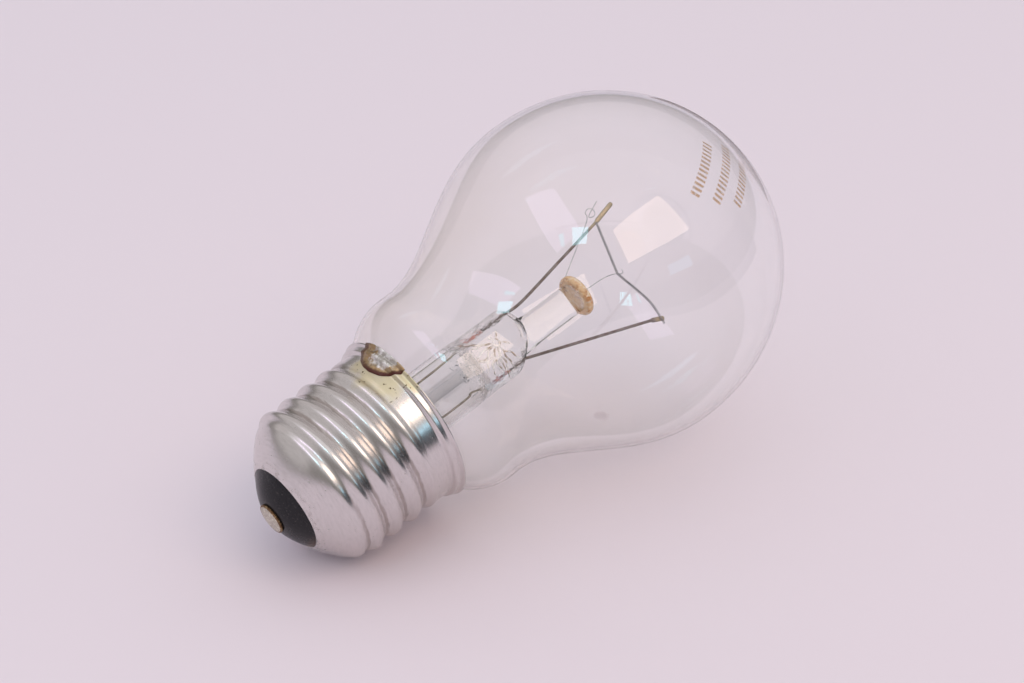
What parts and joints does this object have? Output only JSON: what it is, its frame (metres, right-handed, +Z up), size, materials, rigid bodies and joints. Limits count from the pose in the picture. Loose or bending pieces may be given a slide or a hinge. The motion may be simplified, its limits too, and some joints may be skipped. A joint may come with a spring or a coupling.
{
  "type": "light bulb",
  "caption": "Clear blown-glass filament light bulb with a screw cap, dead, its filament slack off one support, lying on its side.",
  "frame": {"origin": "on the surface that the bulb lies on, under the centre of its bounding box", "axes": "+X towards the crown, +Z up, +Y completes the right-handed frame; the bulb's own axis lies in the XZ plane and rises 15.8 degrees towards +X"},
  "size_m": [0.095, 0.0566, 0.0564],
  "materials": {
    "clear_glass": "clear blown glass",
    "stem_glass": "clear tubing, fire-polished",
    "amber_glass": "tan glass bead",
    "bright_metal": "bright pressed sheet, lightly rubbed",
    "black_glass": "opaque black glass",
    "tinned_brass": "stained by flux",
    "dull_solder": "dull rough solder",
    "grey_cement": "baked cement",
    "nickel_wire": "darkened wire",
    "copper_wire": "reddish wire seen in glass",
    "grey_wire": "dull grey wire"
  },
  "bodies": {
    "root": {"glass_envelope": "clear_glass", "stem_flare": "stem_glass", "exhaust_tube": "stem_glass", "stem_rod": "stem_glass", "rod_button": "amber_glass", "left_inner_lead": "nickel_wire", "right_inner_lead": "nickel_wire", "left_seal_wire": "copper_wire", "right_seal_wire": "copper_wire", "left_outer_lead": "nickel_wire", "right_outer_lead": "nickel_wire", "hook_support": "grey_wire", "pigtail_support": "grey_wire", "filament": "grey_wire", "cap_shell": "bright_metal", "cap_insulator": "black_glass", "centre_contact": "tinned_brass", "centre_solder": "dull_solder", "side_solder": "dull_solder", "capping_cement": "grey_cement"}
  },
  "joints": []
}
